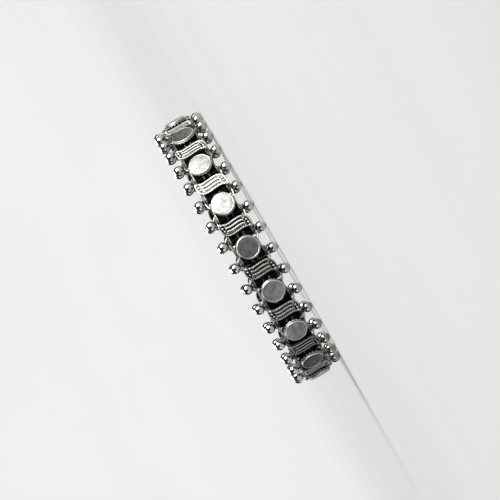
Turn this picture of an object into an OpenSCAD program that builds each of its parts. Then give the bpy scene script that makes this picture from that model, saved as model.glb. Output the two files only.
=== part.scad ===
// Link bracelet that lies on its side: round disc links and wavy bar links,
// hinged on ball-ended pins, closed at the back by one plain clasp.

/* [Loop] */
// Number of links in the loop; half the number has to be odd, so that the clasp replaces a bar
link_count = 34; // [30:4:38]
// Distance between neighbouring hinge pins
pitch = 5.6; // [5.5:0.05:6]
// How far the oval's headings swing from a circle's, in degrees
oval_swing = 6; // [0:0.5:9]

/* [Hinges] */
// Diameter of the hinge pins
pin_d = 0.8; // [0.6:0.05:0.85]
// Gap all round a pin in its barrels
pin_gap = 0.06; // [0.03:0.01:0.08]
// Outer diameter of the hinge barrels
barrel_d = 1.5; // [1.4:0.05:1.6]
// Where the outer barrels begin, from the middle of the band's width
barrel_start = 1.05; // [1.05:0.05:1.4]
// Diameter of the balls on the pins' ends
ball_d = 2.5; // [2:0.1:2.6]
// Distance of a ball's centre from the middle of the band's width
ball_offset = 4.95; // [4.8:0.05:5.2]

/* [Wire loops] */
// Diameter of the loops' wire
loop_wire_d = 0.44; // [0.35:0.01:0.46]
// Diameter of a loop along the middle of its wire
loop_d = 1.5; // [1.4:0.01:1.52]
// Distance of each of the two loops from the middle of the band's width
loop_offset = 0.7; // [0.6:0.05:0.8]

/* [Base plate] */
// Half the width of the plate under each link
plate_half_w = 3; // [2.9:0.05:3.05]
// Thickness of the plate
plate_t = 0.8; // [0.6:0.05:0.9]
// Width of the raised rail along the plate's edges
rail_w = 0.3; // [0.2:0.05:0.4]
// Height of the rail above the plate
rail_h = 0.2; // [0.1:0.05:0.3]
// How far an ear's point reaches along the plate, from its pin
ear_reach = 1.5; // [1.2:0.1:1.7]
// How far an ear's tail reaches past its pin
ear_tail = 0.95; // [0.8:0.05:1]
// Distance of an ear's outer corner from the middle of the band's width
ear_out = 4.3; // [4.1:0.05:4.4]

/* [Disc] */
// Diameter of the raised disc
disc_d = 5.6; // [5.2:0.1:5.7]
// Height of the disc's face above the pins
disc_top = 2.2; // [2:0.05:2.4]
// Height of the disc's underside above the pins
disc_bottom = 1.05; // [1.02:0.01:1.2]
// Width of the bevel round the disc's face
disc_bevel = 0.24; // [0.1:0.02:0.3]
// Diameter of the neck that carries the disc
disc_neck_d = 3.2; // [2.8:0.1:3.4]

/* [Wavy bar] */
// Half the bar's width along the chain
bar_half_w = 1.5; // [1.3:0.01:1.55]
// Half of the stretch over which the bar's long edges run straight
bar_straight = 2.3; // [2.1:0.05:2.4]
// Radius of the bar's rounded shoulders
shoulder_r = 2.33; // [2.2:0.01:2.4]
// How far the bar's tips reach along the chain
tip_reach = 1.93; // [1.7:0.01:1.95]
// Where the tips begin to widen again, from the middle of the band's width
tip_start = 3.2; // [3:0.05:3.3]
// Height of the bar's field above the pins
bar_top = 1.3; // [1.2:0.05:1.4]
// Height of the border and the ribs above the field
ridge_h = 0.28; // [0.2:0.01:0.35]
// Width of the border and the ribs
ridge_w = 0.5; // [0.3:0.01:0.55]
// Half the length of the ribs
rib_half = 2.25; // [2:0.05:2.3]

/* [Clasp] */
// Half the width of the clasp's body along the chain
clasp_half_w = 1.7; // [1.5:0.05:1.75]
// Height of the clasp's top above the pins
clasp_top = 1.5; // [1.3:0.05:1.8]

/* [Hidden] */
$fn = 48;
silver = "#b9b7b2";
dark_silver = "#5c5b59";
turn = 360 / link_count;
half_n = link_count / 2;
mid_z = ball_offset + ball_d / 2;
bore_d = pin_d + 2 * pin_gap;
half_p = pitch / 2;
edge_gap = 0.1;
seat_gap = 0.06;
bury = 0.05;
// The bar's overhanging tips clear the next link's ears by this much
tip_lift = 0.24;
// A plate stops here, clear of the next link's barrels
plate_end = half_p - barrel_d / 2 - edge_gap;
// Half the length of the middle barrel, which sits between the two loops
middle_half = loop_offset - loop_wire_d / 2 - edge_gap;
// A plate is cut back to here, clear of the next link's loops
loop_room = (loop_d + loop_wire_d) / 2 + edge_gap;
shoulder_x = -0.76;
shoulder_y = -1.36;
pin_groups = 6;

function heading(k) = turn * k - oval_swing * sin(2 * turn * k);
function step(k) = pitch * [cos(heading(k)), sin(heading(k))];
// Corners of the open walk round the loop, one for each pin
function walk(k, at = [0, 0], done = []) =
    k == link_count ? done : walk(k + 1, at + step(k), concat(done, [at]));
raw_pins = walk(0);
// Opposite pins mirror each other through the centre, so any such pair's middle is the centre
centre = (raw_pins[0] + raw_pins[half_n]) / 2;
function pin_at(k) = raw_pins[k % link_count] - centre;

function is_disc(k) = k % 2 == 0;
function is_clasp(k) = k == half_n;
function pad(n) = n < 10 ? str("0", n) : str(n);
function link_name(k) =
    is_clasp(k) ? "clasp" :
    is_disc(k) ? str("disc_link_", pad(k / 2 + 1)) :
    str("bar_link_", pad((k + 1) / 2 - (k > half_n ? 1 : 0)));
function pins_name(g) = str("hinge_pins_", g + 1);
function group_start(g) = floor(g * link_count / pin_groups + 0.5);

// Stands a link in the loop. A link is drawn flat: X runs along the chain, Y up across
// the band and Z out of its face; its own pin is at -X and the next link's pin at +X.
module stand_in_loop(k) {
    middle = (pin_at(k) + pin_at(k + 1)) / 2;
    translate([middle[0], middle[1], mid_z])
        rotate([0, 0, heading(k)])
            rotate([90, 0, 0])
                children();
}

module both_edges() {
    children();
    mirror([0, 1, 0]) children();
}

module half_turn_pair() {
    children();
    rotate([0, 0, 180]) children();
}

module plate() {
    translate([-half_p, -plate_half_w, -plate_t / 2])
        cube([half_p + plate_end, 2 * plate_half_w, plate_t]);
}

module rail() {
    translate([-half_p, plate_half_w - rail_w, plate_t / 2 - bury])
        cube([half_p + plate_end, rail_w, rail_h + bury]);
}

module barrel(from, to) {
    translate([-half_p, from, 0])
        rotate([-90, 0, 0])
            cylinder(d = barrel_d, h = to - from);
}

// Flat three-cornered lug beside the ball; its point lies along the plate's edge
module ear() {
    inner = plate_half_w + edge_gap;
    translate([-half_p, 0, -plate_t / 2])
        linear_extrude(height = plate_t)
            polygon([
                [0, inner - 2 * edge_gap],
                [ear_reach, inner - 2 * edge_gap],
                [ear_reach, inner],
                [ear_tail / 2, ear_out],
                [-ear_tail / 2, ear_out],
                [-ear_tail, inner + 4 * edge_gap],
                [-ear_tail, inner],
                [0, inner]
            ]);
}

module ball_seat() {
    translate([-half_p, ball_offset, 0])
        sphere(d = ball_d + 2 * seat_gap);
}

module pin_bore() {
    translate([-half_p, -ball_offset, 0])
        rotate([-90, 0, 0])
            cylinder(d = bore_d, h = 2 * ball_offset);
}

// Room for one wire loop of the link before
module loop_slot() {
    translate([-half_p - barrel_d, middle_half, -plate_t])
        cube([barrel_d + loop_room, barrel_start - middle_half, 2 * plate_t]);
}

module wire_loop() {
    translate([half_p, loop_offset, 0])
        rotate([90, 0, 0])
            rotate_extrude()
                translate([loop_d / 2, 0])
                    circle(d = loop_wire_d);
    translate([plate_end - 2 * loop_wire_d, loop_offset, 0])
        rotate([0, 90, 0])
            cylinder(d = loop_wire_d, h = half_p - loop_d / 2 - plate_end + 2 * loop_wire_d);
}

// Plate, rails, ears, barrels and loops, the same under every link
module link_base() {
    difference() {
        union() {
            plate();
            both_edges() rail();
            barrel(-middle_half, middle_half);
            both_edges() barrel(barrel_start, plate_half_w + edge_gap);
            both_edges() ear();
        }
        both_edges() loop_slot();
        pin_bore();
        both_edges() ball_seat();
    }
    both_edges() wire_loop();
}

module disc() {
    face_r = disc_d / 2 - disc_bevel;
    translate([0, 0, plate_t / 2 - bury])
        cylinder(d = disc_neck_d, h = disc_bottom - plate_t / 2 + 2 * bury);
    rotate_extrude()
        polygon([
            [0, disc_bottom],
            [face_r, disc_bottom],
            [disc_d / 2, disc_bottom + disc_bevel],
            [disc_d / 2, disc_top - disc_bevel],
            [face_r, disc_top],
            [0, disc_top]
        ]);
}

// Rounded shoulder at the lower end, running out to the tip at -X
module bar_end(inset) {
    straight_x = bar_half_w - inset;
    tip_x = tip_reach - inset;
    far_y = shoulder_y - shoulder_r;
    intersection() {
        translate([shoulder_x, shoulder_y])
            circle(r = shoulder_r - inset);
        polygon([
            [straight_x, -1],
            [straight_x, far_y],
            [-tip_x, far_y],
            [-tip_x, -tip_start + inset / 2],
            [-straight_x, -bar_straight + inset],
            [-straight_x, -1]
        ]);
    }
}

// Outline of the wavy bar, drawn smaller all round by the inset
module bar_outline(inset = 0) {
    square([2 * (bar_half_w - inset), 2.2], center = true);
    half_turn_pair() bar_end(inset);
}

module bar() {
    rib_x = (bar_half_w - ridge_w / 2) / 3;
    translate([-bar_half_w, -bar_straight, plate_t / 2 - bury])
        cube([2 * bar_half_w, 2 * bar_straight, tip_lift + 2 * bury]);
    translate([0, 0, plate_t / 2 + tip_lift])
        linear_extrude(height = bar_top - plate_t / 2 - tip_lift)
            bar_outline();
    translate([0, 0, bar_top - bury])
        linear_extrude(height = ridge_h + bury)
            difference() {
                bar_outline();
                bar_outline(ridge_w);
            }
    half_turn_pair()
        translate([rib_x - ridge_w / 2, -rib_half, bar_top - bury])
            cube([ridge_w, 2 * rib_half, ridge_h + bury]);
}

module clasp_body() {
    crown_r = 8;
    intersection() {
        translate([-clasp_half_w, -plate_half_w, plate_t / 2 - bury])
            cube([2 * clasp_half_w, 2 * plate_half_w, clasp_top]);
        translate([0, -plate_half_w, clasp_top - crown_r])
            rotate([-90, 0, 0])
                cylinder(r = crown_r, h = 2 * plate_half_w, $fn = 96);
    }
}

module disc_link(k) {
    color(silver)
        stand_in_loop(k) disc();
    color(dark_silver)
        stand_in_loop(k) link_base();
}

module bar_link(k) {
    color(silver)
        stand_in_loop(k) bar();
    color(dark_silver)
        stand_in_loop(k) link_base();
}

module clasp_link(k) {
    color(silver)
        stand_in_loop(k) clasp_body();
    color(dark_silver)
        stand_in_loop(k) link_base();
}

module link(k) {
    if (is_clasp(k)) clasp_link(k);
    else if (is_disc(k)) disc_link(k);
    else bar_link(k);
}

// One pin with a ball on each end
module hinge_pin(k) {
    at = pin_at(k);
    translate([at[0], at[1], mid_z]) {
        cylinder(d = pin_d, h = 2 * ball_offset, center = true);
        translate([0, 0, ball_offset]) sphere(d = ball_d);
        translate([0, 0, -ball_offset]) sphere(d = ball_d);
    }
}

module hinge_pins(g) {
    color(silver)
        for (k = [group_start(g):group_start(g + 1) - 1]) hinge_pin(k);
}

for (k = [0:link_count - 1])
    link(k);
for (g = [0:pin_groups - 1])
    hinge_pins(g);
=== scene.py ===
"""Sterling silver link bracelet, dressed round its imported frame.

Round disc links and wavy bar links alternate round an oval loop that lies on its side and
rests on the lower row of its balls. Every link of the frame is replaced by finished
metalwork in the same place: oxidised recesses, worn ridges of twisted wire, granules and
satin disc faces. The ball-ended pins are replaced by polished ones. Sizes are in
millimetres. In a link's flat frame X runs along the chain, Y across the band and Z outwards.
Tarnish runs from 0 for bright to 1 for black.
"""

import logging
import math
import random
from collections.abc import Sequence
from dataclasses import dataclass, field, replace
from enum import Enum

import bpy
import numpy as np
from mathutils import Matrix, Vector


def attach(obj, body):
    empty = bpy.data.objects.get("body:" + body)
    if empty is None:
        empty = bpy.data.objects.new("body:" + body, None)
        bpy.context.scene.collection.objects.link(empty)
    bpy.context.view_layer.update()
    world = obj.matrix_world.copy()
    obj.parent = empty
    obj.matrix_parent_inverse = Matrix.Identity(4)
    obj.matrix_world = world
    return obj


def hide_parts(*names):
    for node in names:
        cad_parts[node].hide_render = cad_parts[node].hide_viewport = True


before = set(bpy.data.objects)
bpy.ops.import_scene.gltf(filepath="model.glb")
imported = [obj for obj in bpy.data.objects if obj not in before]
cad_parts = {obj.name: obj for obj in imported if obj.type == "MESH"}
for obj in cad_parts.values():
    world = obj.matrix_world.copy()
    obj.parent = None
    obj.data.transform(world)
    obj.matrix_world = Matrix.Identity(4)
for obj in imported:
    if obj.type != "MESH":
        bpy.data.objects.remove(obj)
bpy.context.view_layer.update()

MM = 0.001
LOG = logging.getLogger("bracelet")

Pair = tuple[float, float]
Triple = tuple[float, float, float]
Face = tuple[int, ...]
Material = bpy.types.Material
Socket = bpy.types.NodeSocket

# Domed end of a wire: how far it lies past the end and its size, both over the radius
DOME: tuple[Pair, ...] = ((0.95, 0.31), (0.6, 0.8))

# Rows of a granule from pole to pole, and steps round it
BEAD_ROWS, BEAD_STEPS = 9, 14

# Edges that bend by more degrees than this are shaded sharp
SHARP_ANGLE = 38.0

# Tarnish of the disc faces whose tone differs from the rest, by the number of the link.
# Painted reflection: these faces are lighter or darker as they mirror bright or dark surroundings.
FACE_PAINTED_REFLECTION = {0: 0.52, 2: 0.12, 4: 0.18, 6: 0.25, 28: 0.8, 30: 0.42, 32: 0.0}

# How much blacker, or if negative how much brighter, some bars are than the rest:
# painted shade for the positive entries and a painted highlight for the negative one.
BAR_PAINTED_LIGHT = {1: 0.18, 3: -0.5, 29: 0.22, 31: 0.16, 33: 0.3}


class Surface(Enum):
    """Finish that a face of the metalwork takes."""

    OXIDISED = 0
    FACE = 1
    POLISHED = 2


class LinkKind(Enum):
    """Top piece that a link carries."""

    DISC = "disc"
    BAR = "bar"
    CLASP = "clasp"


# Mesh helpers


def smooth_step(value: np.ndarray, low: float, high: float) -> np.ndarray:
    """Eases a value from 0 at low to 1 at high."""
    t = np.clip((np.asarray(value, float) - low) / (high - low), 0.0, 1.0)
    return t * t * (3.0 - 2.0 * t)


def unit(vectors: np.ndarray) -> np.ndarray:
    """Scales vectors to a length of 1."""
    return vectors / np.linalg.norm(vectors, axis=1)[:, None]


def distances(path: np.ndarray) -> np.ndarray:
    """Measures how far along a path each of its points lies."""
    return np.concatenate([[0.0], np.cumsum(np.linalg.norm(np.diff(path, axis=0), axis=1))])


def worn(
    height: np.ndarray, crest: float, foot: float, low: float = 0.05, high: float = 0.93
) -> np.ndarray:
    """Gives the tarnish at heights from -1 to 1 of a round section rubbed on its crest."""
    return foot + (crest - foot) * smooth_step(height, low, high)


@dataclass
class Patch:
    """Closed shell of metal, with a tarnish for each point and a finish for each face."""

    points: np.ndarray
    faces: list[Face]
    tarnish: np.ndarray
    surfaces: list[int] = field(default_factory=list)

    def __post_init__(self) -> None:
        """Gives faces without a finish the oxidised one."""
        if not self.surfaces:
            self.surfaces = [Surface.OXIDISED.value] * len(self.faces)

    def moved(self, x: float = 0.0, y: float = 0.0, z: float = 0.0) -> "Patch":
        """Returns a copy moved by x, y and z."""
        return replace(self, points=self.points + np.array([x, y, z]))

    def with_painted_light(self, by: float) -> "Patch":
        """Returns a copy darkened towards black, or brightened if by is negative, as painted shade
        or highlight.
        """
        return replace(self, tarnish=self.tarnish + (float(by > 0.0) - self.tarnish) * abs(by))

    def turned(self, degrees: float, axis: str) -> "Patch":
        """Returns a copy turned about one axis through the origin."""
        turn = np.array(Matrix.Rotation(math.radians(degrees), 3, axis))
        return replace(self, points=self.points @ turn.T)

    def mirrored(self) -> "Patch":
        """Returns the copy for the other edge of the band."""
        flipped = [tuple(reversed(f)) for f in self.faces]
        return replace(self, points=self.points * np.array([1.0, -1.0, 1.0]), faces=flipped)


def join_rings(rings: list[list[int]], closed: bool = False, flip: bool = False) -> list[Face]:
    """Spans faces between neighbouring rings of points.

    Args:
        rings: Numbers of the points in each ring.
        closed: True if the last ring joins the first.
        flip: True if the rings are counted so that their faces turn the other way.

    Returns:
        The faces, without the doubled corner that a pole gives.
    """
    faces = []
    for low, high in zip(rings, rings[1:] + rings[: int(closed)]):
        for a, b, c, d in zip(low, low[1:] + low[:1], high[1:] + high[:1], high):
            faces.append(tuple(dict.fromkeys((a, d, c, b) if flip else (a, b, c, d))))
    return faces


def counted(rings: int, size: int) -> list[list[int]]:
    """Numbers the points of equal rings in turn."""
    return np.arange(rings * size).reshape(rings, size).tolist()


def lathe(profile: Sequence[Triple], segments: int, ring: bool = False) -> Patch:
    """Turns a profile about the Z axis.

    Args:
        profile: Rows of radius, height and tarnish, from the bottom out and up to the top.
        segments: Number of steps round the axis.
        ring: True if the profile is closed and leaves a bore.

    Returns:
        The turned shell, with its faces row after row.
    """
    angle = np.linspace(0.0, 2.0 * math.pi, segments, endpoint=False)
    points: list[np.ndarray] = []
    tarnish: list[float] = []
    rings: list[list[int]] = []
    for radius, height, dark in profile:
        start = len(tarnish)
        if radius < 1e-6:
            points.append(np.array([[0.0, 0.0, height]]))
            rings.append([start] * segments)
        else:
            flat = [radius * np.cos(angle), radius * np.sin(angle), np.full(segments, height)]
            points.append(np.stack(flat, axis=1))
            rings.append(list(range(start, start + segments)))
        tarnish += [dark] * len(points[-1])
    return Patch(np.concatenate(points), join_rings(rings, ring), np.array(tarnish))


def bead(centre: Sequence[float], radius: float, crest: float, foot: float) -> Patch:
    """Makes a soldered granule.

    Args:
        centre: Place of its centre.
        radius: Radius of the granule.
        crest: Tarnish of its crest.
        foot: Tarnish of its foot.

    Returns:
        The granule's shell.
    """
    steps = np.linspace(-1.0, 1.0, BEAD_ROWS) * math.pi / 2.0
    dark = worn(np.sin(steps), crest, foot, -0.2, 0.65)
    profile = [(radius * math.cos(a), radius * math.sin(a), t) for a, t in zip(steps, dark)]
    return lathe(profile, BEAD_STEPS).moved(*centre)


@dataclass(frozen=True)
class Twist:
    """Lay of a two-strand twisted wire."""

    spacing: float
    depth: float
    dark: float


def wire(
    path: np.ndarray,
    radius: float,
    sides: int = 10,
    closed: bool = False,
    up: Triple = (0.0, 0.0, 1.0),
    twist: Twist | None = None,
    crest: float = 0.0,
    foot: float = 0.9,
    crown: float = 1.0,
    taper: float = 1.0,
    sizes: np.ndarray | float = 1.0,
) -> Patch:
    """Sweeps a round or twisted wire along a path.

    Args:
        path: Points along the wire.
        radius: Radius of the wire.
        sides: Number of sides of the section.
        closed: True if the path joins up.
        up: Direction that stays over the wire.
        twist: Lay of the strands, or None for a plain wire.
        crest: Tarnish of the crest.
        foot: Tarnish of the foot.
        crown: Height of the section over its width.
        taper: Radius at the far end over the radius at the near end.
        sizes: Radius over the usual one, for each point or for all.

    Returns:
        The wire's shell, with domed ends if it is open.
    """
    around = np.roll(path, -1, axis=0) - np.roll(path, 1, axis=0)
    tangent = unit(around if closed else np.gradient(path, axis=0))
    scale = np.linspace(1.0, taper, len(path)) * sizes
    if not closed:
        head = [path[0] - tangent[0] * radius * past for past, _ in DOME]
        tail = [path[-1] + tangent[-1] * radius * taper * past for past, _ in reversed(DOME)]
        path = np.concatenate([head, path, tail])
        tangent = np.concatenate([[tangent[0]] * 2, tangent, [tangent[-1]] * 2])
        rim = np.array([size for _, size in DOME])
        scale = np.concatenate([rim, scale, rim[::-1] * taper])
    side = unit(np.cross(tangent, np.array(up)))
    normal = np.cross(side, tangent)
    theta = np.linspace(0.0, 2.0 * math.pi, sides, endpoint=False)
    dark = worn(np.broadcast_to(np.sin(theta), (len(path), sides)), crest, foot)
    reach = radius * scale[:, None]
    if twist is not None:
        along = distances(path)
        total = along[-1] + (np.linalg.norm(path[0] - path[-1]) if closed else 0.0)
        turns = max(1, round(total / twist.spacing))
        phase = math.pi * turns * along / total
        groove = 0.5 - 0.5 * np.cos(2.0 * (theta[None, :] - phase[:, None]))
        reach = reach * (1.0 - twist.depth * groove)
        dark = np.clip(dark + twist.dark * groove**2, 0.0, 1.0)
    points = (
        path[:, None, :]
        + (reach * np.cos(theta))[:, :, None] * side[:, None, :]
        + (crown * reach * np.sin(theta))[:, :, None] * normal[:, None, :]
    ).reshape(-1, 3)
    dark = dark.reshape(-1)
    rings = counted(len(path), sides)
    if not closed:
        end = len(points)
        rings = [[end] * sides, *rings, [end + 1] * sides]
        points = np.concatenate([points, [path[0], path[-1]]])
        dark = np.concatenate([dark, [dark[:sides].mean(), dark[-sides:].mean()]])
    return Patch(points, join_rings(rings, closed, flip=True), dark)


def inset(outline: np.ndarray, by: float) -> np.ndarray:
    """Moves a counterclockwise outline inwards by a small distance.

    Args:
        outline: Corners in the plane.
        by: Distance, negative to move outwards.

    Returns:
        The moved corners.
    """
    before = outline - np.roll(outline, 1, axis=0)
    after = np.roll(outline, -1, axis=0) - outline
    first, second = (unit(way[:, ::-1] * [-1.0, 1.0]) for way in (before, after))
    spread = 1.0 + (first * second).sum(axis=1)
    return outline + by * (first + second) / np.maximum(spread, 0.3)[:, None]


def slab(
    outline: np.ndarray,
    low: float,
    high: float,
    bevel: float,
    edge: float,
    top: float = 1.0,
    under: float = 0.45,
) -> Patch:
    """Raises a flat outline to a plate with bevelled edges.

    Args:
        outline: Counterclockwise corners in the plane.
        low: Height of the underside.
        high: Height of the top.
        bevel: Width of the bevels.
        edge: Tarnish of the edges.
        top: Tarnish of the top.
        under: Tarnish of the underside.

    Returns:
        The plate's shell.
    """
    small = inset(outline, bevel)
    levels = [(small, low), (outline, low + bevel), (outline, high - bevel), (small, high)]
    points = [np.column_stack([flat, np.full(len(flat), z)]) for flat, z in levels]
    rings = counted(4, len(outline))
    faces = [tuple(reversed(rings[0])), *join_rings(rings), tuple(rings[3])]
    return Patch(np.concatenate(points), faces, np.repeat([under, edge, edge, top], len(outline)))


def smooth_loop(corners: np.ndarray, per: int) -> np.ndarray:
    """Draws a closed smooth curve through corners.

    Args:
        corners: Points that the curve passes through.
        per: Number of points that it has for each corner.

    Returns:
        Points along the curve.
    """
    before, after, last = (np.roll(corners, step, axis=0) for step in (1, -1, -2))
    square = 2.0 * before - 5.0 * corners + 4.0 * after - last
    cube = 3.0 * corners - before - 3.0 * after + last
    rows = []
    for t in np.linspace(0.0, 1.0, per, endpoint=False):
        rows.append(0.5 * (2.0 * corners + (after - before) * t + square * t**2 + cube * t**3))
    return np.stack(rows, axis=1).reshape(-1, corners.shape[1])


def evenly(path: np.ndarray, spacing: float, closed: bool = False) -> np.ndarray:
    """Resamples a path to even points.

    Args:
        path: Points along the path.
        spacing: Distance between the new points, which is rounded to fit the path.
        closed: True if the path joins up.

    Returns:
        The new points, with the path's end among them if it is open.
    """
    if closed:
        path = np.concatenate([path, path[:1]])
    along = distances(path)
    count = max(2, round(along[-1] / spacing))
    at = np.linspace(0.0, along[-1], count + int(not closed), endpoint=not closed)
    return np.stack([np.interp(at, along, path[:, i]) for i in range(path.shape[1])], axis=1)


def linked_mesh(
    name: str, points: np.ndarray, faces: list[Face], finishes: Sequence[Material]
) -> bpy.types.Object:
    """Makes a smooth mesh and links it to the scene.

    Args:
        name: Name of the object.
        points: Its points.
        faces: Its faces, as numbers of points.
        finishes: Its materials.

    Returns:
        The object, at the world's origin.
    """
    mesh = bpy.data.meshes.new(name)
    mesh.from_pydata((points * MM).tolist(), [], faces)
    mesh.polygons.foreach_set("use_smooth", [True] * len(faces))
    for finish in finishes:
        mesh.materials.append(finish)
    made = bpy.data.objects.new(name, mesh)
    bpy.context.scene.collection.objects.link(made)
    return made


@dataclass
class Metalwork:
    """Shells of one soldered piece, gathered in the flat frame of its link."""

    patches: list[Patch] = field(default_factory=list)

    def add(self, *patches: Patch) -> None:
        """Adds shells as they are."""
        self.patches.extend(patches)

    def add_both(self, *patches: Patch) -> None:
        """Adds shells on both edges of the band."""
        for patch in patches:
            self.patches += [patch, patch.mirrored()]

    def add_turned(self, *patches: Patch) -> None:
        """Adds shells and their half-turned twins."""
        for patch in patches:
            self.patches += [patch, patch.turned(180.0, "Z")]

    def as_object(
        self, name: str, turn: np.ndarray, offset: np.ndarray, finishes: Sequence[Material]
    ) -> bpy.types.Object:
        """Builds the Blender object in its place in the loop.

        Args:
            name: Name of the object.
            turn: Rotation from the flat frame to the loop.
            offset: Place of the flat frame's origin.
            finishes: Materials in the order of Surface.

        Returns:
            The linked mesh object, at the world's origin.
        """
        points = np.concatenate([p.points for p in self.patches])
        faces: list[Face] = []
        start = 0
        for patch in self.patches:
            faces += [tuple(start + i for i in f) for f in patch.faces]
            start += len(patch.points)
        made = linked_mesh(name, points @ turn.T + offset, faces, finishes)
        surfaces = [s for patch in self.patches for s in patch.surfaces]
        made.data.polygons.foreach_set("material_index", surfaces)
        tarnish = np.concatenate([p.tarnish for p in self.patches]).astype(np.float32)
        made.data.attributes.new("tarnish", "FLOAT", "POINT").data.foreach_set("value", tarnish)
        made.data.set_sharp_from_angle(angle=math.radians(SHARP_ANGLE))
        made.data.update()
        return made


# Finishes


class Shading:
    """Node tree of one material, with short calls for the nodes that it needs."""

    def __init__(self, name: str) -> None:
        """Starts a material with its shader and object coordinates.

        Args:
            name: Name of the material.
        """
        self.material = bpy.data.materials.new(name)
        self.material.use_nodes = True
        self.tree = self.material.node_tree
        self.shader = self.tree.nodes["Principled BSDF"]
        self.place = self.tree.nodes.new("ShaderNodeTexCoord").outputs["Object"]

    def fill(self, node: bpy.types.Node, **inputs: Socket | float | Triple) -> bpy.types.Node:
        """Links or sets inputs of a node.

        Args:
            node: The node.
            **inputs: Socket or value for each input, whose name has _ for each space.

        Returns:
            The same node.
        """
        for name, value in inputs.items():
            target = node.inputs[name.replace("_", " ")]
            if isinstance(value, Socket):
                self.tree.links.new(value, target)
            else:
                target.default_value = value
        return node

    def add(self, kind: str, **inputs: Socket | float | Triple) -> bpy.types.Node:
        """Adds a node of a kind, with its inputs filled."""
        return self.fill(self.tree.nodes.new(f"ShaderNode{kind}"), **inputs)

    def noise(self, size_mm: float, detail: float, stretch: Triple = (1.0, 1.0, 1.0)) -> Socket:
        """Adds noise.

        Args:
            size_mm: Size of the grains.
            detail: Number of finer layers.
            stretch: How much finer the grains are along X, Y and Z.

        Returns:
            The noise's value.
        """
        place = self.add("Mapping", Vector=self.place, Scale=stretch).outputs["Vector"]
        scale = 1.0 / MM / size_mm
        return self.add("TexNoise", Vector=place, Scale=scale, Detail=detail).outputs["Fac"]

    def tarnish(self) -> Socket:
        """Reads the tarnish that the mesh carries.

        Returns:
            The tarnish.
        """
        node = self.add("Attribute")
        node.attribute_name = "tarnish"
        return node.outputs["Fac"]

    def spread(
        self, value: Socket, low: float, high: float, to_low: float, to_high: float
    ) -> Socket:
        """Maps a value from low and high to two others, clamped."""
        ends = {"From_Min": low, "From_Max": high, "To_Min": to_low, "To_Max": to_high}
        return self.add("MapRange", Value=value, **ends).outputs["Result"]

    def blend(self, value: Socket, stops: Sequence[tuple[float, Triple]]) -> Socket:
        """Turns a value into a colour.

        Args:
            value: The value.
            stops: Rows of a value and its colour.

        Returns:
            The colour.
        """
        node = self.add("ValToRGB", Fac=value)
        elements = node.color_ramp.elements
        while len(elements) < len(stops):
            elements.new(0.5)
        for element, (at, colour) in zip(elements, stops):
            element.position, element.color = at, (*colour, 1.0)
        return node.outputs["Color"]

    def bump(self, height: Socket, strength: float, depth_mm: float) -> None:
        """Raises the surface, over any bump that it has already.

        Args:
            height: Height, from 0 to 1.
            strength: Strength of the effect.
            depth_mm: Depth at a height of 1.
        """
        node = self.add("Bump", Strength=strength, Distance=depth_mm * MM, Height=height)
        normal = self.shader.inputs["Normal"]
        if normal.is_linked:
            self.fill(node, Normal=normal.links[0].from_socket)
        self.fill(self.shader, Normal=node.outputs["Normal"])

    def metal(self, colour: Socket, roughness: Socket) -> None:
        """Makes the material a metal with a colour and a roughness."""
        self.fill(self.shader, Base_Color=colour, Roughness=roughness, Metallic=1.0)


@dataclass(frozen=True)
class OxidisedSilver:
    """Blackened silver whose crests are rubbed bright."""

    bright: Triple = (0.76, 0.75, 0.73)
    dull: Triple = (0.54, 0.53, 0.51)
    grey: Triple = (0.20, 0.195, 0.185)
    black: Triple = (0.006, 0.006, 0.0055)
    polish: float = 0.3
    soot: float = 0.62

    def material(self) -> Material:
        """Builds the material, which follows the tarnish of the mesh.

        Returns:
            The material.
        """
        s = Shading("oxidised_silver")
        patches = s.spread(s.noise(0.5, 4.0), 0.3, 0.7, -0.1, 0.1)
        mixed = s.add("Math", Value=s.tarnish())
        mixed.operation, mixed.use_clamp = "ADD", True
        s.tree.links.new(patches, mixed.inputs[1])
        dark = mixed.outputs["Value"]
        stops = [(0.0, self.bright), (0.22, self.dull), (0.52, self.grey), (0.8, self.black)]
        s.metal(s.blend(dark, stops), s.spread(dark, 0.0, 0.9, self.polish, self.soot))
        s.bump(s.noise(0.16, 3.0), 0.35, 0.03)
        return s.material


@dataclass(frozen=True)
class SatinSilver:
    """Brushed and slightly scuffed silver of the disc faces."""

    light: Triple = (0.328, 0.325, 0.318)
    shade: Triple = (0.198, 0.198, 0.193)
    clean: float = 1.2
    painted_shade_and_tarnish: float = 0.4
    smooth: float = 0.24
    rough: float = 0.4

    def material(self) -> Material:
        """Builds the material from clouds, fine scuffs and small dents.

        Returns:
            The material.
        """
        s = Shading("satin_silver")
        clouds = s.blend(s.noise(1.0, 5.0), [(0.34, self.shade), (0.62, self.light)])
        # The face tone follows the tarnish, which on the listed discs is painted reflection
        strength = s.spread(s.tarnish(), 0.0, 1.0, self.clean, self.painted_shade_and_tarnish)
        scuffs = s.spread(s.noise(0.5, 5.0, (1.0, 1.0, 5.0)), 0.3, 0.7, self.smooth, self.rough)
        toned = s.add("VectorMath")
        toned.operation = "SCALE"
        s.metal(s.fill(toned, Vector=clouds, Scale=strength).outputs["Vector"], scuffs)
        s.bump(s.noise(0.22, 4.0, (1.0, 1.0, 6.0)), 0.35, 0.02)
        s.bump(s.noise(0.9, 2.0), 0.3, 0.05)
        return s.material


@dataclass(frozen=True)
class PolishedSilver:
    """Highly polished silver of the balls, with faint wear."""

    tint: Triple = (0.64, 0.62, 0.595)
    dull: Triple = (0.50, 0.485, 0.465)
    smooth: float = 0.09
    rough: float = 0.2

    def material(self) -> Material:
        """Builds the material from a faint film and fine scratches.

        Returns:
            The material.
        """
        s = Shading("polished_silver")
        film = s.blend(s.noise(1.1, 3.0), [(0.35, self.dull), (0.6, self.tint)])
        s.metal(film, s.spread(s.noise(0.35, 4.0), 0.3, 0.7, self.smooth, self.rough))
        s.bump(s.noise(0.6, 2.0), 0.12, 0.04)
        return s.material


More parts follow.
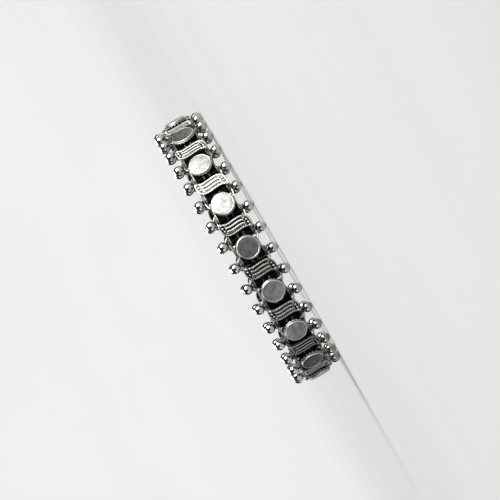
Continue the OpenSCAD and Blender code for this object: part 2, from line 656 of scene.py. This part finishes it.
@dataclass(frozen=True)
class PaleFloor:
    """Plain pale studio floor, nearly even and dull."""

    light: Triple = (0.64, 0.637, 0.632)
    shade: Triple = (0.625, 0.622, 0.618)
    roughness: float = 0.75
    shine: float = 0.15

    def material(self) -> Material:
        """Builds the material.

        Returns:
            The material.
        """
        s = Shading("pale_floor")
        colour = s.blend(s.noise(160.0, 2.0), [(0.4, self.shade), (0.6, self.light)])
        s.fill(s.shader, Base_Color=colour, Roughness=self.roughness, Specular_IOR_Level=self.shine)
        return s.material


# Loop and links


@dataclass(frozen=True)
class OvalLoop:
    """Oval walk of hinge pins, the same as the frame's."""

    link_count: int = 34
    pitch: float = 5.6
    swing: float = 6.0
    mid_z: float = 6.2

    def heading(self, k: int) -> float:
        """Returns the direction of link k in degrees."""
        turn = 360.0 / self.link_count
        return turn * k - self.swing * math.sin(math.radians(2.0 * turn * k))

    def pins(self) -> np.ndarray:
        """Walks round the loop.

        Returns:
            Place of each hinge pin in the plane.
        """
        at = np.zeros((self.link_count, 2))
        for k in range(1, self.link_count):
            way = math.radians(self.heading(k - 1))
            at[k] = at[k - 1] + self.pitch * np.array([math.cos(way), math.sin(way)])
        return at - (at[0] + at[self.link_count // 2]) / 2.0

    def standing(self, k: int) -> tuple[np.ndarray, np.ndarray]:
        """Finds how a link stands in the loop.

        Args:
            k: Number of the link.

        Returns:
            Rotation and place of its flat frame.
        """
        pins = self.pins()
        middle = (pins[k] + pins[(k + 1) % self.link_count]) / 2.0
        up = Matrix.Rotation(math.radians(90.0), 3, "X")
        turn = Matrix.Rotation(math.radians(self.heading(k)), 3, "Z") @ up
        return np.array(turn), np.array([*middle, self.mid_z])

    def kind(self, k: int) -> LinkKind:
        """Tells what link k carries."""
        usual = LinkKind.BAR if k % 2 else LinkKind.DISC
        return LinkKind.CLASP if k == self.link_count // 2 else usual

    def node(self, k: int) -> str:
        """Tells a link's name in the frame.

        Args:
            k: Number of the link.

        Returns:
            The name of its node.
        """
        kind = self.kind(k)
        if kind is LinkKind.CLASP:
            return "clasp"
        if kind is LinkKind.DISC:
            return f"disc_link_{k // 2 + 1:02d}"
        return f"bar_link_{(k + 1) // 2 - int(k > self.link_count // 2):02d}"


@dataclass(frozen=True)
class HingedBase:
    """Blackened plate under every link, with its barrels, ears, rails and wire loops."""

    half_pitch: float = 2.8
    half_width: float = 3.0
    half_thick: float = 0.4
    plate_end: float = 1.95
    slot_from: float = 0.38
    slot_to: float = 1.05
    slot_end: float = -1.73
    # Short barrel between the two loops: radius, place across the band, tarnish
    middle_rows: tuple[Triple, ...] = (
        (0.46, -0.38, 0.92), (0.69, -0.38, 0.92), (0.75, -0.32, 0.92), (0.75, 0.32, 0.92),
        (0.69, 0.38, 0.92), (0.46, 0.38, 0.92),
    )
    # Barrel with a turned collar, which runs out to the ball, in the same way
    barrel_rows: tuple[Triple, ...] = (
        (0.46, 1.05, 1.0), (0.69, 1.05, 0.9), (0.75, 1.11, 0.85), (0.75, 2.55, 0.9),
        (0.66, 2.63, 1.0), (0.66, 2.69, 1.0), (0.75, 2.77, 0.75), (0.75, 3.03, 0.6),
        (0.68, 3.1, 0.7), (0.62, 3.14, 0.85), (0.6, 3.26, 0.8), (0.63, 3.34, 0.6),
        (0.65, 3.42, 0.55), (0.63, 3.5, 0.6), (0.6, 3.58, 0.8), (0.59, 3.7, 0.8),
        (0.54, 3.74, 0.9), (0.46, 3.74, 1.0),
    )
    ball_y: float = 4.95
    seat_r: float = 1.31
    ear_reach: float = 1.5
    ear_gap: float = 0.5
    ear_aim: Pair = (0.42, 4.36)
    lug_tip: Pair = (-0.95, 3.5)
    lug_aim: Pair = (-0.45, 4.34)
    edging_r: float = 0.13
    edging_taper: float = 1.75
    # Bent wire beside a ball, from the pin: along the chain, across the band, height
    leg: tuple[Triple, ...] = (
        (-2.05, 2.96, 0.4), (-1.86, 3.22, 0.4), (-1.5, 3.38, 0.4), (-1.0, 3.48, 0.4),
        (-0.5, 3.5, 0.4),
    )
    leg_r: float = 0.17
    rail: tuple[Triple, ...] = ((-2.65, 2.86, 0.46), (1.77, 2.86, 0.46))
    rail_r: float = 0.17
    loop_r: float = 0.75
    loop_wire_r: float = 0.22
    loop_y: float = 0.7
    barrel_steps: int = 28
    loop_steps: int = 26

    def plate(self) -> Patch:
        """Makes the plate, slotted for the two loops of the link before.

        Returns:
            Its shell.
        """
        a, w, e = -self.half_pitch, self.half_width, self.plate_end
        m, n, c = self.slot_from, self.slot_to, self.slot_end
        corners = [(e, -w), (e, w), (a, w), (a, n), (c, n), (c, m), (a, m)]
        corners += [(a, -m), (c, -m), (c, -n), (a, -n), (a, -w)]
        # The underside, the inside of the band, is dark grey: partly oxide and partly painted shade
        # that keeps the gaps between links dark.
        return slab(np.array(corners), -self.half_thick, self.half_thick, 0.07, 1.0, under=0.6)

    def barrel(self, rows: Sequence[Triple]) -> Patch:
        """Turns a hollow barrel about the pin from its rows."""
        turned = lathe(rows, self.barrel_steps, ring=True)
        return turned.turned(-90.0, "X").moved(x=-self.half_pitch)

    def seat_cut(self, a: np.ndarray, b: np.ndarray) -> np.ndarray:
        """Finds where a straight way meets the ball's seat.

        Args:
            a: Start of the way, outside the seat.
            b: End of the way, inside the seat.

        Returns:
            The place where it meets the seat.
        """
        low, high = 0.0, 1.0
        for _ in range(40):
            middle = (low + high) / 2.0
            outside = np.linalg.norm(a + (b - a) * middle - [0.0, self.ball_y]) > self.seat_r
            low, high = (middle, high) if outside else (low, middle)
        return a + (b - a) * low

    def seat_arc(self, first: np.ndarray, last: np.ndarray) -> list[np.ndarray]:
        """Follows the ball's seat.

        Args:
            first: Where the arc starts.
            last: Where it ends.

        Returns:
            Points along the arc.
        """
        seat = np.array([0.0, self.ball_y])
        start, end = (math.atan2(*(p - seat)[::-1]) for p in (first, last))
        steps = np.linspace(start, end, 7)
        return [seat + self.seat_r * np.array([math.cos(t), math.sin(t)]) for t in steps]

    def ear(self) -> list[Patch]:
        """Makes the three-cornered ear and the small lug on both sides of a barrel.

        Returns:
            Shells of the ear, the lug and the wire that edges the ear.
        """
        w, gap, half_t = self.half_width, self.ear_gap, self.half_thick
        point = np.array([self.ear_reach, w + 0.1])
        slope = self.seat_cut(point, np.array(self.ear_aim))
        inner = np.array([gap, self.ball_y - math.sqrt(self.seat_r**2 - gap**2)])
        front = [[gap, w - 0.12], [self.ear_reach, w - 0.12], point]
        front += self.seat_arc(slope, inner)
        tip = np.array(self.lug_tip)
        lug = [[-gap, w + 0.05]]
        lug += self.seat_arc(inner * [-1, 1], self.seat_cut(tip, np.array(self.lug_aim)))
        lug += [tip, [tip[0], w + 0.1], [tip[0] + 0.05, w + 0.05]]
        made = []
        for corners in (front, lug):
            outline = np.array(corners, float) - [self.half_pitch, 0.0]
            made.append(slab(outline, -half_t, half_t, 0.08, 0.5, top=0.58))
        edging = np.array([[*(point + [0.12, -0.1]), half_t], [*slope, half_t - 0.02]])
        way = evenly(edging - [self.half_pitch, 0.04, 0.02], 0.14)
        edge = wire(way, self.edging_r, crest=0.26, foot=0.75, taper=self.edging_taper)
        return [*made, edge]

    def bent_leg(self) -> Patch:
        """Bends the wire that runs beside a ball."""
        way = evenly(np.array(self.leg) - [self.half_pitch, 0.0, 0.0], 0.14)
        return wire(way, self.leg_r, crest=0.15, foot=0.8)

    def edge_rail(self) -> Patch:
        """Makes the round rail along one edge of the plate."""
        return wire(evenly(np.array(self.rail), 0.3), self.rail_r, crest=0.34, foot=0.95)

    def hinge_loop(self) -> list[Patch]:
        """Makes one wire loop round the next link's pin, brighter on its outer side.

        Returns:
            Shells of the loop and of its stub.
        """
        p, r, y = self.half_pitch, self.loop_r, self.loop_y
        turn = np.linspace(0.0, 2.0 * math.pi, self.loop_steps, endpoint=False)
        way = [p + r * np.cos(turn), np.full(self.loop_steps, y), r * np.sin(turn)]
        loop = wire(np.stack(way, axis=1), self.loop_wire_r, closed=True, up=(0.0, 1.0, 0.0))
        loop.tarnish = 0.98 - 0.34 * smooth_step(loop.points[:, 2], 0.35, 0.85)
        stub = evenly(np.array([[self.plate_end - 0.5, y, 0.0], [p - r, y, 0.0]]), 0.2)
        return [loop, wire(stub, self.loop_wire_r, crest=0.7, foot=0.95)]

    def build(self, work: Metalwork) -> None:
        """Adds the whole base.

        Args:
            work: Metalwork of the link.
        """
        work.add(self.plate(), self.barrel(self.middle_rows))
        work.add_both(self.barrel(self.barrel_rows), self.edge_rail(), *self.ear())
        work.add_both(self.bent_leg(), *self.hinge_loop())


@dataclass(frozen=True)
class DiscTop:
    """Raised round drum with a milled foot, a flange, a bright lip and a satin face."""

    radius: float = 2.8
    bottom: float = 1.05
    top: float = 2.2
    neck_r: float = 1.6
    neck_low: float = 0.3
    segments: int = 72
    grains: int = 20
    grain_r: float = 0.2
    # Drum's wall with its flange: past the radius, over the bottom, tarnish
    wall: tuple[Triple, ...] = (
        (-0.38, 0.0, 0.9), (-0.25, 0.05, 0.9), (-0.2, 0.14, 0.95), (-0.2, 0.46, 0.95),
        (-0.06, 0.5, 0.6), (0.03, 0.56, 0.4), (0.05, 0.64, 0.3), (0.01, 0.72, 0.25),
        (-0.07, 0.77, 0.5), (-0.17, 0.79, 0.95),
    )
    # Drum's lip: past the radius, over the top, tarnish
    lip: tuple[Triple, ...] = (
        (-0.17, -0.3, 0.95), (-0.11, -0.26, 0.4), (-0.1, -0.18, 0.1), (-0.13, -0.09, 0.0),
        (-0.2, -0.02, 0.0), (-0.26, 0.0, 0.0), (-0.31, -0.012, 0.1), (-0.35, -0.04, 0.55),
    )
    # Drum's face: radius, over the top
    face: tuple[Pair, ...] = ((2.36, -0.03), (1.9, -0.02), (1.0, -0.012), (0.0, -0.008))
    # Bent wire at the end of the rail: along the chain, across the band, height
    hook: tuple[Triple, ...] = (
        (1.62, 2.86, 0.46), (1.72, 2.72, 0.5), (1.7, 2.5, 0.52), (1.52, 2.28, 0.52),
        (1.25, 2.12, 0.5),
    )
    hook_r: float = 0.15
    knob: Triple = (1.45, 2.78, 0.62)
    knob_r: float = 0.27
    lean: float = 1.1
    # Range of chance tarnish for disc faces that are not listed with painted reflection
    patina_and_painted_light: Pair = (0.15, 0.35)

    def drum(self, patina_and_painted_light: float) -> Patch:
        """Turns the drum with its lip and its face, set a hair below the lip.

        Args:
            patina_and_painted_light: Tarnish of the face, which for the discs listed by number is
                painted reflection.

        Returns:
            Its shell.
        """
        r, b, t = self.radius, self.bottom, self.top
        profile = [(0.0, b, 0.9), *[(r + x, b + z, dark) for x, z, dark in self.wall]]
        profile += [(r + x, t + z, dark) for x, z, dark in self.lip]
        profile += [(x, t + z, patina_and_painted_light) for x, z in self.face]
        drum, plain = lathe(profile, self.segments), self.segments * len(self.face)
        drum.surfaces[-plain:] = [Surface.FACE.value] * plain
        return drum

    def foot(self) -> list[Patch]:
        """Sets the ring of granules round the drum's foot.

        Returns:
            Their shells.
        """
        r, z = self.radius - self.grain_r, self.bottom + 0.27
        turns = [2.0 * math.pi * i / self.grains for i in range(self.grains)]
        places = [(r * math.cos(a), r * math.sin(a), z) for a in turns]
        return [bead(place, self.grain_r, 0.1, 0.5) for place in places]

    def neck(self) -> Patch:
        """Turns the neck between plate and drum."""
        r, low, high = self.neck_r, self.neck_low, self.bottom + 0.1
        return lathe([(0.0, low, 1.0), (r, low, 1.0), (r, high, 1.0), (0.0, high, 1.0)], 40)

    def corner(self) -> list[Patch]:
        """Bends the rail's end in towards the drum, with a knob at the bend."""
        bend = wire(evenly(np.array(self.hook), 0.12), self.hook_r)
        return [bend, bead(self.knob, self.knob_r, 0.0, 0.8)]

    def build(self, work: Metalwork, dice: random.Random, patina_and_painted_light: float | None) -> None:
        """Adds the drum, leaning a little as hand-set drums do.

        Args:
            work: Metalwork of the link.
            dice: Source of the small differences between links.
            patina_and_painted_light: Tarnish of the face, or None for a chance one; listed faces
                get painted reflection.
        """
        turn, lean = dice.uniform(0.0, 360.0), dice.uniform(-self.lean, self.lean)
        chance = dice.uniform(*self.patina_and_painted_light)
        work.add(self.neck())
        for patch in [self.drum(chance if patina_and_painted_light is None else patina_and_painted_light), *self.foot()]:
            low = patch.turned(turn, "Z").moved(z=-self.bottom)
            work.add(low.turned(lean, "Y").moved(z=self.bottom))
        work.add_both(*self.corner())


@dataclass(frozen=True)
class WavyBarTop:
    """Wavy bar with a twisted border, two ribs, finer rows between and granules at the ends."""

    stem_low: float = 0.35
    stem: Pair = (1.3, 2.2)
    body_low: float = 0.64
    field_z: float = 1.26
    # Half of the border wire: along the chain, across the band
    half_border: tuple[Pair, ...] = (
        (1.33, 0.0), (1.26, 0.75), (1.22, 1.4), (1.29, 2.0), (1.5, 2.55), (1.82, 2.92),
        (1.88, 3.3), (1.5, 3.55), (0.8, 3.6), (0.05, 3.52), (-0.6, 3.26), (-1.08, 2.78),
        (-1.33, 2.15), (-1.41, 1.4), (-1.38, 0.65),
    )
    border_r: float = 0.27
    border_thins: float = 0.26
    border_twist: Twist = Twist(spacing=0.5, depth=0.27, dark=0.42)
    # Strength of the painted shade on the border's side towards -X
    shaded_side: float = 0.14
    rib_x: float = 0.43
    rib_r: float = 0.28
    rib_half: float = 2.12
    rib_twist: Twist = Twist(spacing=0.46, depth=0.23, dark=0.3)
    # Rows of small granules: place along the chain, radius, tarnish of the crest. The darker
    # crest of the row at +x than of the row at -x is painted shade.
    fine_rows: tuple[Triple, ...] = ((0.865, 0.11, 0.4), (-0.865, 0.15, 0.15), (0.0, 0.1, 0.5))
    fine_spacing: float = 0.47
    # Wire that closes the rows: along the chain, across the band, height
    cross: tuple[Triple, ...] = ((-1.1, 2.2, 1.34), (0.1, 2.32, 1.4), (1.3, 2.34, 1.34))
    cross_r: float = 0.1
    granule_z: float = 1.4
    # Granules at one end: along the chain, across the band, radius
    granules: tuple[Triple, ...] = (
        (1.55, 3.0, 0.39), (0.75, 2.99, 0.34), (-0.05, 2.86, 0.32), (-0.7, 2.54, 0.23),
    )
    turn: float = 1.2

    def border(self) -> np.ndarray:
        """Returns the middle of the border wire, in the plane."""
        half = np.array(self.half_border)
        return smooth_loop(np.concatenate([half, -half]), 6)

    def row(self, x: float, z: float, spacing: float) -> np.ndarray:
        """Gives the way of a row with a sway, whose points lie about a spacing apart."""
        y = np.linspace(-self.rib_half, self.rib_half, 60)
        return evenly(np.column_stack([x + (0.0345 * y**3 - 0.125 * y), y, 0.0 * y + z]), spacing)

    def body(self) -> Patch:
        """Raises the bar's body under its border."""
        outline = inset(evenly(self.border(), 0.22, closed=True), -0.1)
        return slab(outline, self.body_low, self.field_z, 0.06, 0.35, under=0.8)

    def foot(self) -> Patch:
        """Joins the body to the plate."""
        corners = np.array([(1, -1), (1, 1), (-1, 1), (-1, -1)]) * self.stem
        return slab(corners, self.stem_low, self.body_low + 0.1, 0.04, 0.9, under=1.0)

    def rim(self) -> Patch:
        """Lays the twisted border wire, thinner round the ends and with painted shade on one side.

        Returns:
            Its shell.
        """
        flat = evenly(self.border(), 0.075, closed=True)
        way = np.column_stack([flat, np.full(len(flat), self.field_z + 0.13)])
        thin = 1.0 - self.border_thins * smooth_step(np.abs(flat[:, 1]), 2.2, 2.9)
        twist = self.border_twist
        rim = wire(way, self.border_r, 12, True, twist=twist, foot=0.5, crown=0.76, sizes=thin)
        # Painted shade: the border darkens towards -X along the chain
        painted_shade_and_tarnish = self.shaded_side * smooth_step(-rim.points[:, 0], 0.3, 1.0)
        rim.tarnish = np.clip(rim.tarnish + painted_shade_and_tarnish, 0.0, 1.0)
        return rim

    def rib(self, x: float) -> Patch:
        """Lays a main rib at a place along the chain."""
        way = self.row(x, self.field_z + 0.17, 0.07)
        return wire(way, self.rib_r, 12, twist=self.rib_twist, foot=0.85, crown=0.62)

    def rows(self) -> list[Patch]:
        """Sets the rows of small granules between the ribs and the border.

        Returns:
            Their shells.
        """
        made = []
        for x, radius, crest in self.fine_rows:
            way = self.row(x, self.field_z + 0.04, self.fine_spacing)
            made += [bead(place, radius, crest, 1.0) for place in way]
        return made

    def end(self) -> list[Patch]:
        """Closes the rows with a cross wire and sets the granules at one end."""
        cross = wire(evenly(np.array(self.cross), 0.12), self.cross_r, crest=0.2)
        return [cross, *[bead((x, y, self.granule_z), r, 0.08, 1.0) for x, y, r in self.granules]]

    def build(self, work: Metalwork, dice: random.Random, patina_and_painted_light: float) -> None:
        """Adds the bar, turned a little as hand-set bars are.

        Args:
            work: Metalwork of the link.
            dice: Source of the small differences between links.
            patina_and_painted_light: How much blacker (painted shade) or brighter (painted
                highlight) the bar is, -1 to 1.
        """
        top = Metalwork()
        top.add(self.body(), self.rim(), self.rib(self.rib_x), self.rib(-self.rib_x), *self.rows())
        top.add_turned(*self.end())
        turn = dice.uniform(-self.turn, self.turn)
        # Some bars get painted shade or a painted highlight here
        work.add(self.foot(), *[patch.turned(turn, "Z").with_painted_light(patina_and_painted_light) for patch in top.patches])


@dataclass(frozen=True)
class ClaspTop:
    """Plain crowned box clasp, with twisted wires on its sides and plain ones at its ends."""

    half_w: float = 1.7
    half_l: float = 3.0
    low: float = 0.35
    top: float = 1.5
    crown_r: float = 8.0
    soft: float = 0.12
    side_in: float = 0.14
    side_z: float = 1.32
    side_r: float = 0.19
    side_twist: Twist = Twist(spacing=0.42, depth=0.26, dark=0.45)
    end_in: float = 0.35
    end_r: float = 0.13

    def crown(self, x: np.ndarray) -> np.ndarray:
        """Returns the height of the crown at places along the chain."""
        return self.top - self.crown_r + np.sqrt(self.crown_r**2 - x**2)

    def body(self) -> Patch:
        """Makes the crowned body with softened edges.

        Returns:
            Its shell.
        """
        rows = []
        x = np.linspace(-self.half_w, self.half_w, 15)
        edge, soft = self.half_l, self.soft
        for y, drop in [(-edge, soft), (-edge + soft, 0.0), (edge - soft, 0.0), (edge, soft)]:
            wide = x * (1.0 - drop / self.half_w)
            over = np.column_stack([wide, np.full(15, y), self.crown(x) - drop])
            rim = np.array([[wide[-1], y, self.low], [wide[0], y, self.low]])
            rows.append(np.concatenate([over, rim]))
        rings = counted(4, len(rows[0]))
        faces = [tuple(rings[0]), *join_rings(rings, flip=True), tuple(reversed(rings[3]))]
        points = np.concatenate(rows)
        return Patch(points, faces, 0.9 - 0.75 * smooth_step(points[:, 2], 0.6, 1.2))

    def build(self, work: Metalwork) -> None:
        """Adds the clasp's body, its side wires and its end wires.

        Args:
            work: Metalwork of the link.
        """
        work.add(self.body())
        side = self.half_w - self.side_in
        ends = (-self.half_l + 0.2, self.half_l - 0.2)
        along = evenly(np.array([[side, y, self.side_z] for y in ends]), 0.075)
        work.add_turned(wire(along, self.side_r, twist=self.side_twist, foot=0.6))
        x = np.linspace(-side + 0.25, side - 0.25, 20)
        across = np.column_stack([x, np.full(20, self.half_l - self.end_in), self.crown(x)])
        work.add_turned(wire(across, self.end_r, foot=0.6))


@dataclass(frozen=True)
class BallPins:
    """Blackened hinge pins with a polished ball on each end, in the frame's six groups."""

    ball_r: float = 1.25
    ball_z: float = 4.95
    pin_r: float = 0.4
    groups: int = 6
    segments: int = 36

    def pin(self) -> Patch:
        """Turns one pin with both of its balls.

        Returns:
            Its shell.
        """
        r, z = self.ball_r, self.ball_z
        reach = math.asin((self.pin_r + 0.06) / r)
        steps = np.linspace(0.0, math.pi - reach, 22)
        lower = [(r * math.sin(a), -z - r * math.cos(a)) for a in steps]
        lower.append((self.pin_r, -z + r * math.cos(reach) + 0.05))
        upper = [(radius, -height) for radius, height in reversed(lower)]
        profile = [(radius, height, 0.95) for radius, height in lower + upper]
        pin, ball = lathe(profile, self.segments), self.segments * (len(lower) - 1)
        for start in (0, ball + self.segments):
            pin.surfaces[start : start + ball] = [Surface.POLISHED.value] * ball
        return pin

    def group(self, g: int, loop: OvalLoop) -> range:
        """Returns the pins in group g."""
        cuts = [math.floor(i * loop.link_count / self.groups + 0.5) for i in (g, g + 1)]
        return range(*cuts)

    def build(self, g: int, loop: OvalLoop, work: Metalwork) -> None:
        """Adds the pins of group g in their places."""
        pins = loop.pins()
        work.add(*[self.pin().moved(*pins[k]) for k in self.group(g, loop)])


# The bracelet


@dataclass
class Bracelet:
    """All pieces of the bracelet, built in the order of the loop."""

    loop: OvalLoop = field(default_factory=OvalLoop)
    base: HingedBase = field(default_factory=HingedBase)
    disc: DiscTop = field(default_factory=DiscTop)
    bar: WavyBarTop = field(default_factory=WavyBarTop)
    clasp: ClaspTop = field(default_factory=ClaspTop)
    pins: BallPins = field(default_factory=BallPins)
    finishes: list[Material] = field(default_factory=list)

    def link(self, k: int) -> None:
        """Builds a link in its place and lets it stand for its CAD node.

        Args:
            k: Number of the link.
        """
        dice = random.Random(100 + k)
        work = Metalwork()
        self.base.build(work)
        kind, node = self.loop.kind(k), self.loop.node(k)
        # Listed disc faces get painted reflection, and listed bars painted shade or a painted
        # highlight
        if kind is LinkKind.DISC:
            self.disc.build(work, dice, FACE_PAINTED_REFLECTION.get(k))
        elif kind is LinkKind.BAR:
            self.bar.build(work, dice, BAR_PAINTED_LIGHT.get(k, 0.0))
        else:
            self.clasp.build(work)
        made = work.as_object(f"{node}_metalwork", *self.loop.standing(k), self.finishes)
        self.settle(made, node)

    def pin_group(self, g: int) -> None:
        """Builds the pins of a group and lets them stand for their CAD node.

        Args:
            g: Number of the group, from 0.
        """
        work = Metalwork()
        self.pins.build(g, self.loop, work)
        middle = np.array([0.0, 0.0, self.loop.mid_z])
        node = f"hinge_pins_{g + 1}"
        made = work.as_object(f"{node}_polished", np.eye(3), middle, self.finishes)
        self.settle(made, node)

    def settle(self, made: bpy.types.Object, node: str) -> None:
        """Rides a piece on the one body, hides the CAD node that it replaces and logs it.

        Args:
            made: The piece.
            node: CAD node that it replaces.
        """
        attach(made, "root")
        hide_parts(node)
        LOG.info("%s: %d faces", made.name, len(made.data.polygons))

    def build(self) -> None:
        """Builds the finishes in the order of Surface, then every link and group of pins."""
        self.finishes = [f.material() for f in (OxidisedSilver(), SatinSilver(), PolishedSilver())]
        for k in range(self.loop.link_count):
            self.link(k)
        for g in range(self.pins.groups):
            self.pin_group(g)


# Studio


@dataclass(frozen=True)
class StudioFloor:
    """Pale floor that sweeps up far behind the bracelet."""

    front: float = -1800.0
    flat_to: float = 2600.0
    bend_r: float = 700.0
    wall: float = 300.0
    half_width: float = 1800.0

    def build(self) -> None:
        """Bends the sweep and links it to the scene."""
        side = [(self.front, 0.0), (0.0, 0.0), (self.flat_to, 0.0)]
        for a in np.linspace(0.0, math.pi / 2.0, 19)[1:]:
            side.append((self.flat_to + self.bend_r * math.sin(a), self.bend_r * (1 - math.cos(a))))
        side.append((self.flat_to + self.bend_r, self.bend_r + self.wall))
        edges = (-self.half_width, self.half_width)
        points = np.array([(x, y, z) for y, z in side for x in edges])
        faces = [(2 * i, 2 * i + 1, 2 * i + 3, 2 * i + 2) for i in range(len(side) - 1)]
        linked_mesh("floor", points, faces, [PaleFloor().material()])


@dataclass(frozen=True)
class SoftBox:
    """Area light that faces the bracelet, or a point that it is aimed at."""

    name: str
    azimuth: float
    elevation: float
    distance: float
    width: float
    height: float
    watts: float
    tint: Triple = (1.0, 1.0, 1.0)
    aim: Triple = (0.0, 0.0, 6.2)

    def build(self) -> None:
        """Hangs the light; azimuth 0 is in front and 90 is at the right."""
        a, e = math.radians(self.azimuth), math.radians(self.elevation)
        back = Vector((math.sin(a) * math.cos(e), -math.cos(a) * math.cos(e), math.sin(e)))
        data = bpy.data.lights.new(self.name, "AREA")
        data.shape = "RECTANGLE"
        data.size, data.size_y = self.width * MM, self.height * MM
        data.energy, data.color = self.watts, self.tint
        lamp = bpy.data.objects.new(self.name, data)
        lamp.location = (back * self.distance + Vector(self.aim)) * MM
        lamp.rotation_euler = back.to_track_quat("Z", "Y").to_euler()
        lamp.visible_camera = False
        bpy.context.scene.collection.objects.link(lamp)


@dataclass(frozen=True)
class Studio:
    """Plain soft studio light over the pale floor."""

    boxes: tuple[SoftBox, ...] = (
        SoftBox("key_light", 54.0, 22.0, 2000.0, 1760.0, 1600.0, 87.0, (1.0, 0.985, 0.965)),
        SoftBox("side_light", -62.0, 14.0, 1800.0, 1240.0, 760.0, 4.0),
        SoftBox("rear_light", 0.0, 90.0, 1900.0, 1600.0, 3200.0, 60.0, aim=(0.0, 2200.0, 0.0)),
    )
    world: Triple = (0.9, 0.95, 1.0)
    world_strength: float = 0.04

    def build(self) -> None:
        """Lights the scene and sets the plain view transform."""
        for box in self.boxes:
            box.build()
        world = bpy.data.worlds.new("studio")
        world.use_nodes = True
        sky = world.node_tree.nodes["Background"]
        sky.inputs["Color"].default_value = (*self.world, 1.0)
        sky.inputs["Strength"].default_value = self.world_strength
        scene = bpy.context.scene
        scene.world = world
        scene.view_settings.view_transform = "Standard"
        scene.view_settings.look = "None"


@dataclass(frozen=True)
class PictureCamera:
    """Camera at the photograph's angle, rolled as the band runs in it."""

    azimuth: float = 0.0
    elevation: float = 0.6
    roll: float = -120.093
    distance: float = 1500.0
    focal_px: float = 6404.67
    picture_px: float = 500.0
    across: float = -0.682
    upward: float = 0.474
    target_z: float = 6.2

    def build(self) -> None:
        """Places the camera and makes it the scene's."""
        a, e, roll = (math.radians(v) for v in (self.azimuth, self.elevation, self.roll))
        forward = Vector((math.sin(a) * math.cos(e), math.cos(a) * math.cos(e), -math.sin(e)))
        level = forward.cross(Vector((0.0, 0.0, 1.0))).normalized()
        high = level.cross(forward)
        right = math.cos(roll) * level + math.sin(roll) * high
        up = -math.sin(roll) * level + math.cos(roll) * high
        data = bpy.data.cameras.new("camera")
        data.sensor_width = 36.0
        data.lens = self.focal_px / self.picture_px * data.sensor_width
        data.clip_start, data.clip_end = 0.01, 20.0
        camera = bpy.data.objects.new("camera", data)
        place = Vector((0.0, 0.0, self.target_z)) - forward * self.distance
        place -= right * self.across + up * self.upward
        turn = Matrix((right, up, -forward)).transposed().to_4x4()
        camera.matrix_world = Matrix.Translation(place * MM) @ turn
        bpy.context.scene.collection.objects.link(camera)
        bpy.context.scene.camera = camera


def main() -> None:
    """Builds the camera, the studio and the bracelet."""
    logging.basicConfig(level=logging.INFO, format="%(message)s")
    PictureCamera().build()
    StudioFloor().build()
    Studio().build()
    Bracelet().build()


if __name__ == "__main__":
    main()
